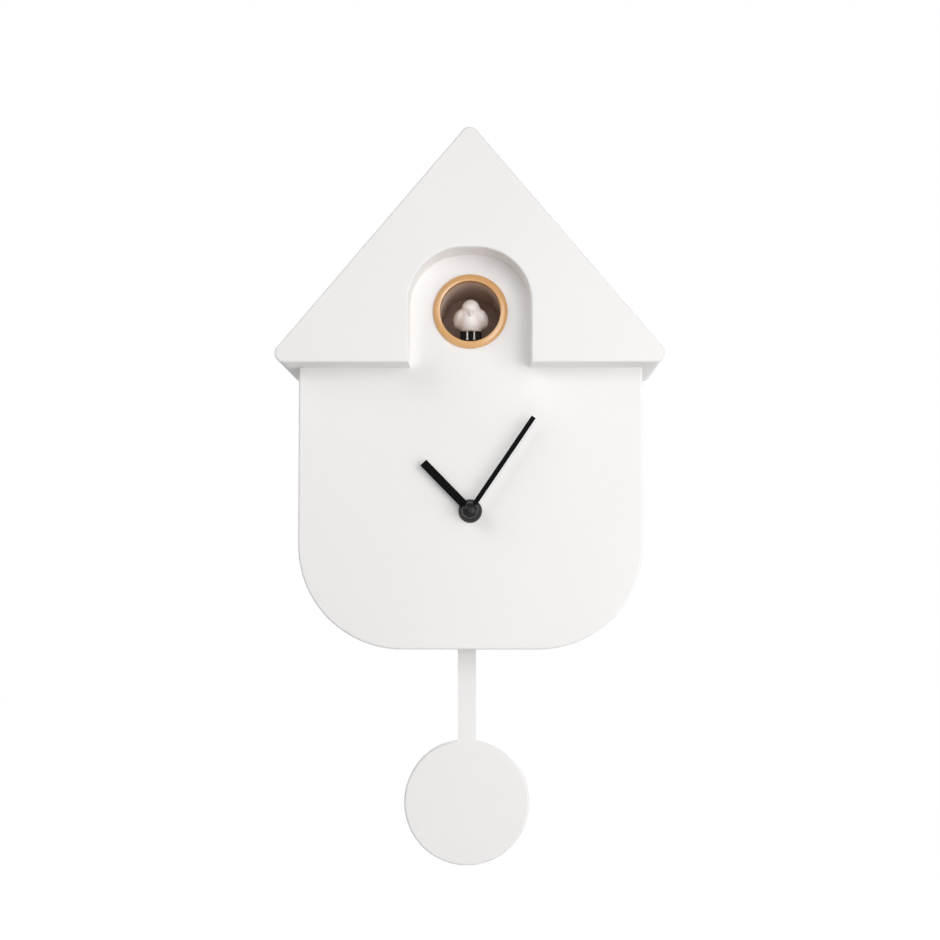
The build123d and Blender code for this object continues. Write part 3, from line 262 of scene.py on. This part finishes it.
# Rolled and zinc plated steel: a cool grey shine with faint blue and straw clouds.
zinc_plated_steel = grained(
    "zinc_plated_steel", "#C6C8CA", "#B4B4AE", patch_mm=2.5, rough=(0.22, 0.38), grain_mm=0.3, depth_mm=0.004,
    metallic=1.0)
# Satin golden tan paint over moulding: warm under a clear lacquer, with an orange peel of about 1.5 mm.
satin_tan_paint = grained(
    "satin_tan_paint", "#DDA868", "#D49D5C", patch_mm=9.0, rough=(0.3, 0.4), grain_mm=1.5, depth_mm=0.008,
    lacquer=1.0)
# Satin brown ABS drawn off a turned core: a pale brown that deepens in the tunnel's own shade. Faint draw
# lines run into the tunnel, and light slides along them.
satin_brown_abs = grained(
    "satin_brown_abs", "#E4D0C3", "#DDC6B7", patch_mm=12.0, rough=(0.3, 0.42), grain_mm=0.8, depth_mm=0.01,
    along=ALONG_OUT)
# The tunnel's end is painted a darker brown than the satin bore in front of it: painted shade at the back of
# the tunnel.
paint_shade_on_tunnel_end(satin_brown_abs, "#A88A76")
# White ABS from a polished mould: a clean soft gloss, with the faintest sink marks.
gloss_white_abs = grained(
    "gloss_white_abs", "#FAF7F5", "#F5F1EF", patch_mm=8.0, rough=(0.32, 0.4), grain_mm=2.0, depth_mm=0.01)
# Black ABS from a polished mould: a deep black with only a weak shine.
gloss_black_abs = grained(
    "gloss_black_abs", "#090706", "#0E0B0A", patch_mm=8.0, rough=(0.22, 0.34), grain_mm=0.6, depth_mm=0.004,
    shine=0.06)
# Glass filled nylon: matt black with short grey fibres in the flow.
matt_black_nylon = grained(
    "matt_black_nylon", "#202021", "#313133", patch_mm=1.2, rough=(0.42, 0.6), grain_mm=0.5, depth_mm=0.012,
    along=ALONG_OUT)
# Natural acetal: milky white and slippery, with a soft shine. Light goes about 1 mm into it.
natural_acetal = grained(
    "natural_acetal", "#ECE8DB", "#E2DCCB", patch_mm=6.0, rough=(0.28, 0.4), grain_mm=0.7, depth_mm=0.006,
    ior=1.48)
milkiness = natural_acetal.node_tree.nodes["Principled BSDF"].inputs
milkiness["Subsurface Weight"].default_value = 0.12
milkiness["Subsurface Scale"].default_value = 1.0 * MM
# Deep drawn steel: bright grey with fine lines along the can.
drawn_steel = grained(
    "drawn_steel", "#B9BBBD", "#A3A6A9", patch_mm=5.0, rough=(0.24, 0.4), grain_mm=0.4, depth_mm=0.006,
    along=ALONG_ACROSS, metallic=1.0)
# Turned brass: yellow, with tool rings round the arbor. The rings are 0.05 mm apart, drawn at 0.3 mm.
turned_brass = grained(
    "turned_brass", "#D3AE60", "#C19A4C", patch_mm=6.0, rough=(0.2, 0.36), grain_mm=0.3, depth_mm=0.006,
    along=ROUND_OUT, metallic=1.0)
# Black ABS from an etched mould: a dull, even black. The texture is about 0.2 mm, drawn at 0.5 mm.
etched_black_abs = grained(
    "etched_black_abs", "#1C1C1D", "#252526", patch_mm=20.0, rough=(0.45, 0.6), grain_mm=0.5, depth_mm=0.03)
# Black zinc on steel: nearly black, with a hard grey shine where it faces the light.
black_zinc = grained(
    "black_zinc", "#343231", "#2A2928", patch_mm=2.0, rough=(0.2, 0.3), grain_mm=0.5, depth_mm=0.002,
    metallic=1.0)
# Stoved black enamel on sheet metal: a smooth satin black with a faint peel of about 1 mm.
satin_black_enamel = grained(
    "satin_black_enamel", "#070707", "#0C0B0B", patch_mm=6.0, rough=(0.34, 0.46), grain_mm=1.0,
    depth_mm=0.006, shine=0.035)
# Turned and lacquered cap: black with small soft highlights.
satin_black_cap = grained(
    "satin_black_cap", "#0B0A0A", "#100F0F", patch_mm=3.0, rough=(0.14, 0.22), grain_mm=0.8, depth_mm=0.002,
    shine=0.2)
# Sintered ferrite: dull charcoal with a fine crystal speckle of about 0.3 mm.
sintered_ferrite = grained(
    "sintered_ferrite", "#444346", "#2D2C2E", patch_mm=0.5, rough=(0.42, 0.6), grain_mm=0.3, depth_mm=0.012)
# Nickel plated spring steel: warm silver with a light unevenness from the bath.
nickel_plate = grained(
    "nickel_plate", "#D2CEC4", "#C1BDB2", patch_mm=4.0, rough=(0.18, 0.3), grain_mm=0.4, depth_mm=0.004,
    metallic=1.0)
# Moulded epoxy: flat charcoal with a fine even grit.
moulded_epoxy = grained(
    "moulded_epoxy", "#1B1B1D", "#262628", patch_mm=3.0, rough=(0.5, 0.66), grain_mm=0.25, depth_mm=0.01)
# Pressed paper pulp: dark and dry, with short fibres of about 1 mm.
pressed_paper = grained(
    "pressed_paper", "#3F3B36", "#2F2C29", patch_mm=1.0, rough=(0.8, 0.95), grain_mm=0.4, depth_mm=0.06)
flat_wound_copper = wound_copper("flat_wound_copper", "RINGS", DRIVE_COIL_MIDDLE)
long_wound_copper = wound_copper("long_wound_copper", "BANDS", at(0.0, 0.0, 0.0))
green_solder_mask = masked_board("green_solder_mask")

finishes = {
    "white_abs": satin_white_abs, "cover_abs": textured_white_abs, "steel": zinc_plated_steel,
    "ring_tan": satin_tan_paint, "tunnel_brown": satin_brown_abs, "bird_white": gloss_white_abs,
    "stand_black": gloss_black_abs, "nylon_black": matt_black_nylon, "gear_pom": natural_acetal,
    "motor_can": drawn_steel, "brass": turned_brass, "case_black": etched_black_abs,
    "copper_coil": long_wound_copper, "washer_dark": black_zinc, "nut_dark": black_zinc,
    "hand_black": satin_black_enamel, "cap_black": satin_black_cap, "magnet": sintered_ferrite,
    "contact_metal": nickel_plate, "board_green": green_solder_mask, "chip_black": moulded_epoxy,
    "cone_paper": pressed_paper,
}
for subpart in frame["record"]["subparts"]:
    slots = nodes[subpart["node"]].data.materials
    slots.clear()
    slots.append(finishes[subpart["material_slot"]])
nodes["drive_coil"].data.materials[0] = flat_wound_copper


# Modelling

# A face looks one way where its normal reaches this far along it
FACING = 0.9


def fresh(add, **shape):
    """Adds a primitive with nothing else selected, and puts its place and size in its mesh."""
    bpy.ops.object.select_all(action="DESELECT")
    add(**shape)
    bpy.ops.object.transform_apply(location=True, rotation=True, scale=True)
    return bpy.context.object


def edit(piece):
    """Goes to edit mode on one piece alone."""
    bpy.ops.object.select_all(action="DESELECT")
    piece.select_set(True)
    bpy.context.view_layer.objects.active = piece
    bpy.ops.object.mode_set(mode="EDIT")


def whole(piece):
    """Selects all of a piece, in edit mode."""
    edit(piece)
    bpy.ops.mesh.select_mode(type="VERT")
    bpy.ops.mesh.select_all(action="SELECT")


def pick(piece, wanted):
    """Selects the faces of a piece whose normal is wanted, in edit mode."""
    edit(piece)
    bpy.ops.mesh.select_mode(type="FACE")
    bpy.ops.mesh.select_all(action="DESELECT")
    bpy.ops.object.mode_set(mode="OBJECT")
    for face in piece.data.polygons:
        face.select = wanted(face.normal)
    bpy.ops.object.mode_set(mode="EDIT")


def press(piece, *steps):
    """Presses steps into a piece's upper face. Each goes so far inward and so far up, in millimetres."""
    pick(piece, lambda normal: normal.z > FACING)
    for inward, upward in steps:
        bpy.ops.mesh.inset(thickness=inward * MM, depth=upward * MM)
    bpy.ops.object.mode_set(mode="OBJECT")
    return piece


def join(first, *others):
    """Makes one piece of several."""
    bpy.ops.object.select_all(action="DESELECT")
    for piece in (first, *others):
        piece.select_set(True)
    bpy.context.view_layer.objects.active = first
    bpy.ops.object.join()
    return first


def coat(piece, material, crease):
    """Smooths the piece in hand up to an angle in degrees, and gives it one finish."""
    bpy.ops.object.shade_smooth_by_angle(angle=radians(crease))
    piece.data.materials.clear()
    piece.data.materials.append(material)


# The bird: its middle lies in the ring's middle, a little behind the stand's front
BIRD_BEHIND_FRONT = 5.0
BIRD_OUT = reach("bird_stand")[OUT][MOST] - BIRD_BEHIND_FRONT
RING_MIDDLE = sum(reach("bird_ring")[UP]) / 2
STAND_TOP = reach("bird_stand")[UP][MOST]
STAND_BAR_TOP = reach("bird")[UP][LEAST]
TAIL_OUT = -10.6
TAIL_UP = -0.9
TAIL_SIZE = (6.4, 7.0, 1.8)
TAIL_END_SPREAD = (1.15, 1.0, 0.7)
TAIL_END_LIFT = 1.6
BEAK_ROOT = 3.4
BEAK_TIP = 0.5
BEAK_LENGTH = 8.0
BEAK_OUT = 9.6
BEAK_UP = 1.5
BEAK_TURN = 130.0
LEG_RADIUS = 0.42
LEG_ACROSS = 2.0
LEG_OUT = 4.65
LEG_INTO_BODY = 0.4
FOOT_HEIGHT = 0.6
FOOT_SPREAD = (1.6, 1.2, 1.0)


def on_bird(across, out, up):
    """Point in metres from millimetres across, out and up from the bird's middle."""
    return at(across, BIRD_OUT + out, RING_MIDDLE + up)


def lump(radii, across=0.0, out=0.0, up=0.0, tilt=0.0, splay=0.0):
    """Rounded part of the bird, from its own middle: a ball drawn out to three radii, tipped forward and
    turned outward."""
    return fresh(bpy.ops.mesh.primitive_uv_sphere_add, segments=48, ring_count=24, radius=MM,
                 location=on_bird(across, out, up), rotation=(radians(tilt), radians(splay), 0.0),
                 scale=radii)


def blend(piece, voxel_mm, rounds):
    """Makes one skin of a piece's parts and rubs down the creases between them."""
    piece.data.remesh_voxel_size = voxel_mm * MM
    bpy.ops.object.voxel_remesh()
    soften = piece.modifiers.new("soften", "SMOOTH")
    soften.factor = 0.5
    soften.iterations = rounds
    bpy.ops.object.modifier_apply(modifier="soften")


head = lump((5.2, 5.6, 5.2), out=5.2, up=4.2)
breast = lump((7.4, 8.6, 8.8), out=2.4, up=-1.9)
belly = lump((6.8, 8.0, 6.4), out=0.4, up=-5.0)
wings = [lump((3.9, 8.4, 5.3), across=side * 6.1, out=0.4, up=-1.1, tilt=-14.0, splay=side * -18.0)
         for side in SIDES]
rump = lump((4.2, 6.4, 3.4), out=-7.0, up=-2.2, tilt=-16.0)

# The tail starts as a block, and its end is widened, thinned and lifted
tail = fresh(bpy.ops.mesh.primitive_cube_add, size=MM, location=on_bird(0.0, TAIL_OUT, TAIL_UP),
             scale=TAIL_SIZE)
pick(tail, lambda normal: normal.y > FACING)
bpy.ops.transform.resize(value=TAIL_END_SPREAD)
bpy.ops.transform.translate(value=(0.0, 0.0, TAIL_END_LIFT * MM))
bpy.ops.object.mode_set(mode="OBJECT")

bird = join(breast, head, belly, *wings, rump, tail)
bird.name = "carved_bird"
blend(bird, voxel_mm=0.3, rounds=60)
beak = fresh(bpy.ops.mesh.primitive_cone_add, vertices=32, radius1=BEAK_ROOT * MM, radius2=BEAK_TIP * MM,
             depth=BEAK_LENGTH * MM, location=on_bird(0.0, BEAK_OUT, BEAK_UP),
             rotation=(radians(BEAK_TURN), 0.0, 0.0))
join(bird, beak)
blend(bird, voxel_mm=0.25, rounds=48)
# Below, the bird is cut flat where it sits on the stand
whole(bird)
bpy.ops.mesh.bisect(plane_co=at(0.0, 0.0, STAND_TOP), plane_no=(0.0, 0.0, 1.0), use_fill=True,
                    clear_inner=True)
bpy.ops.object.mode_set(mode="OBJECT")

# Thin legs with wider feet go down to the stand's bar
leg_top = STAND_TOP + LEG_INTO_BODY
legs = []
for side in SIDES:
    leg = fresh(bpy.ops.mesh.primitive_cylinder_add, vertices=24, radius=LEG_RADIUS * MM,
                depth=(leg_top - STAND_BAR_TOP) * MM,
                location=at(side * LEG_ACROSS, BIRD_OUT + LEG_OUT, (leg_top + STAND_BAR_TOP) / 2))
    pick(leg, lambda normal: normal.z < -FACING)
    bpy.ops.transform.translate(value=(0.0, 0.0, FOOT_HEIGHT * MM))
    bpy.ops.mesh.extrude_region_move()
    bpy.ops.transform.resize(value=FOOT_SPREAD)
    bpy.ops.mesh.extrude_region_move(TRANSFORM_OT_translate={"value": (0.0, 0.0, -FOOT_HEIGHT * MM)})
    bpy.ops.object.mode_set(mode="OBJECT")
    legs.append(leg)
join(bird, *legs)
coat(bird, gloss_white_abs, crease=40.0)
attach(bird, "bird")
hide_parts("bird")


# Battery contacts: a spring and a button on pressed plates, at each end of the bay
PLATE_WIDTH = 10.0
PLATE_DEPTH = 8.5
PLATE_THICKNESS = 0.5
PLATE_RIM = 0.9
PLATE_FOLD = 0.25
PLATE_SUNK = 0.2
SPRING_WIRE = 0.35
SPRING_TURNS = 5
SPRING_REACH = 4.8
SPRING_RADIUS = 3.2
SPRING_STEPS = 28
SPRING_TAPER = -0.45
BUTTON_RADIUS = 3.2
BUTTON_HEIGHT = 0.8
BUTTON_STEPS = ((0.5, 0.35), (0.6, 0.15))
# The plates' middle lies this far out from the cells' middle
PLATE_FROM_CELL = 0.75

contacts_across, contacts_out, contacts_up = reach("battery_contacts")
bay_low, bay_high = contacts_up
bay_middle = sum(contacts_across) / 2
cell_spacing = (contacts_across[MOST] - contacts_across[LEAST] - PLATE_WIDTH) / 2
plate_out = sum(contacts_out) / 2
cell_out = plate_out - PLATE_FROM_CELL
plate_face = bay_low + PLATE_THICKNESS - PLATE_SUNK
spring_cell = bay_middle + cell_spacing
button_cell = bay_middle - cell_spacing


def contact_plate(across):
    """Pressed plate on the lower end wall of the bay, with a folded rim."""
    plate = fresh(bpy.ops.mesh.primitive_cube_add, size=MM,
                  location=at(across, plate_out, bay_low + PLATE_THICKNESS / 2),
                  scale=(PLATE_WIDTH, PLATE_DEPTH, PLATE_THICKNESS))
    return press(plate, (PLATE_RIM, 0.0), (PLATE_FOLD, -PLATE_SUNK))


# The spring is a ring of wire, screwed up into a coil and then narrowed
spring = fresh(bpy.ops.mesh.primitive_circle_add, vertices=12, radius=SPRING_WIRE * MM,
               rotation=(radians(90.0), 0.0, 0.0))
whole(spring)
bpy.ops.transform.translate(value=((SPRING_RADIUS - SPRING_WIRE) * MM, 0.0, 0.0))
bpy.ops.object.mode_set(mode="OBJECT")
coil = spring.modifiers.new("coil", "SCREW")
coil.axis = "Z"
coil.angle = radians(360.0)
coil.iterations = SPRING_TURNS
coil.screw_offset = (SPRING_REACH - 2 * SPRING_WIRE) / SPRING_TURNS * MM
coil.steps = SPRING_STEPS
coil.render_steps = SPRING_STEPS
coil.use_merge_vertices = True
bpy.ops.object.modifier_apply(modifier="coil")
narrow = spring.modifiers.new("narrow", "SIMPLE_DEFORM")
narrow.deform_method = "TAPER"
narrow.deform_axis = "Z"
narrow.factor = SPRING_TAPER
bpy.ops.object.modifier_apply(modifier="narrow")
whole(spring)
bpy.ops.mesh.fill_holes(sides=0)
bpy.ops.mesh.select_all(action="SELECT")
bpy.ops.mesh.normals_make_consistent(inside=False)
bpy.ops.transform.translate(value=at(spring_cell, cell_out, plate_face + SPRING_WIRE))
bpy.ops.object.mode_set(mode="OBJECT")

button = fresh(bpy.ops.mesh.primitive_cylinder_add, vertices=40, radius=BUTTON_RADIUS * MM,
               depth=BUTTON_HEIGHT * MM, location=at(button_cell, cell_out, plate_face + BUTTON_HEIGHT / 2))
press(button, *BUTTON_STEPS)

# The upper end has the same contacts, turned half round
contacts = join(contact_plate(spring_cell), contact_plate(button_cell), spring, button)
bpy.ops.object.duplicate()
upper = bpy.context.object
whole(upper)
bpy.ops.transform.rotate(value=radians(180.0), orient_axis="Y",
                         center_override=at(bay_middle, cell_out, (bay_low + bay_high) / 2))
bpy.ops.object.mode_set(mode="OBJECT")
join(contacts, upper)
contacts.name = "battery_springs"
coat(contacts, nickel_plate, crease=35.0)
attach(contacts, "case")
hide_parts("battery_contacts")


# Floor and background, in metres. Both are white to the camera, and light the clock only a little.
FLOOR_SIZE = 12.0
FLOOR_LEVEL = -0.75
FLOOR_COLOUR = "#B6B6B6"
FLOOR_GLOW = 0.97
STUDIO_LIGHT = 0.06
WHITE = linear("#FFFFFF")


def seen_by_camera(tree):
    """Socket that is 1 where the camera looks, straight or through a mirror or glass, and 0 elsewhere."""
    ray = put(tree, "ShaderNodeLightPath", {})
    mirrored = put(tree, "ShaderNodeMath",
                   {0: ray.outputs["Is Glossy Ray"], 1: ray.outputs["Is Transmission Ray"]},
                   operation="MAXIMUM")
    seen = put(tree, "ShaderNodeMath", {0: ray.outputs["Is Camera Ray"], 1: mirrored.outputs[0]},
               operation="MAXIMUM")
    return seen.outputs[0]


bpy.ops.object.select_all(action="DESELECT")
bpy.ops.mesh.primitive_plane_add(size=FLOOR_SIZE, location=(0.0, 0.0, FLOOR_LEVEL))
floor = bpy.context.object
floor.name = "floor"
paper = bpy.data.materials.new("white_paper_sweep")
paper.use_nodes = True
tree = paper.node_tree
tree.nodes.remove(tree.nodes["Principled BSDF"])
seen = seen_by_camera(tree)
matt = put(tree, "ShaderNodeBsdfDiffuse", {"Color": linear(FLOOR_COLOUR)})
glow = put(tree, "ShaderNodeEmission", {"Color": WHITE, "Strength": FLOOR_GLOW})
both = put(tree, "ShaderNodeAddShader", {0: matt.outputs[0], 1: glow.outputs[0]})
either = put(tree, "ShaderNodeMixShader", {0: seen, 1: matt.outputs[0], 2: both.outputs[0]})
tree.links.new(either.outputs[0], tree.nodes["Material Output"].inputs["Surface"])
floor.data.materials.append(paper)

world = bpy.data.worlds.new("white_studio")
scene.world = world
world.use_nodes = True
tree = world.node_tree
level = put(tree, "ShaderNodeMapRange",
            {"Value": seen_by_camera(tree), "To Min": STUDIO_LIGHT, "To Max": 1.0})
background = tree.nodes["Background"].inputs
tree.links.new(level.outputs["Result"], background["Strength"])
background["Color"].default_value = WHITE


# Lamps, in metres. All of them face the middle of the clock.
clock_middle = (cad_box[0] + cad_box[1]) / 2


def softbox(name, place, size, watts):
    """Soft lamp at a place, of a width and height."""
    lamp = bpy.data.lights.new(name, "AREA")
    lamp.shape = "RECTANGLE"
    lamp.size, lamp.size_y = size
    lamp.energy = watts
    holder = bpy.data.objects.new(name, lamp)
    holder.location = place
    holder.rotation_euler = (clock_middle - holder.location).to_track_quat("-Z", "Y").to_euler()
    scene.collection.objects.link(holder)


softbox("key_right", place=(0.678, -1.008, 0.078), size=(1.0, 0.7), watts=4.4)
softbox("low_right", place=(0.665, -0.990, -0.441), size=(1.0, 0.7), watts=5.0)
softbox("side_right", place=(1.142, -0.241, -0.441), size=(0.7, 0.7), watts=3.0)
softbox("front", place=(0.167, -1.226, -0.030), size=(0.8, 0.8), watts=2.7)
softbox("fill_left", place=(-0.796, -0.708, 0.470), size=(0.8, 0.8), watts=5.0)
softbox("back_top", place=(0.300, 0.950, 0.450), size=(1.2, 1.2), watts=13.0)
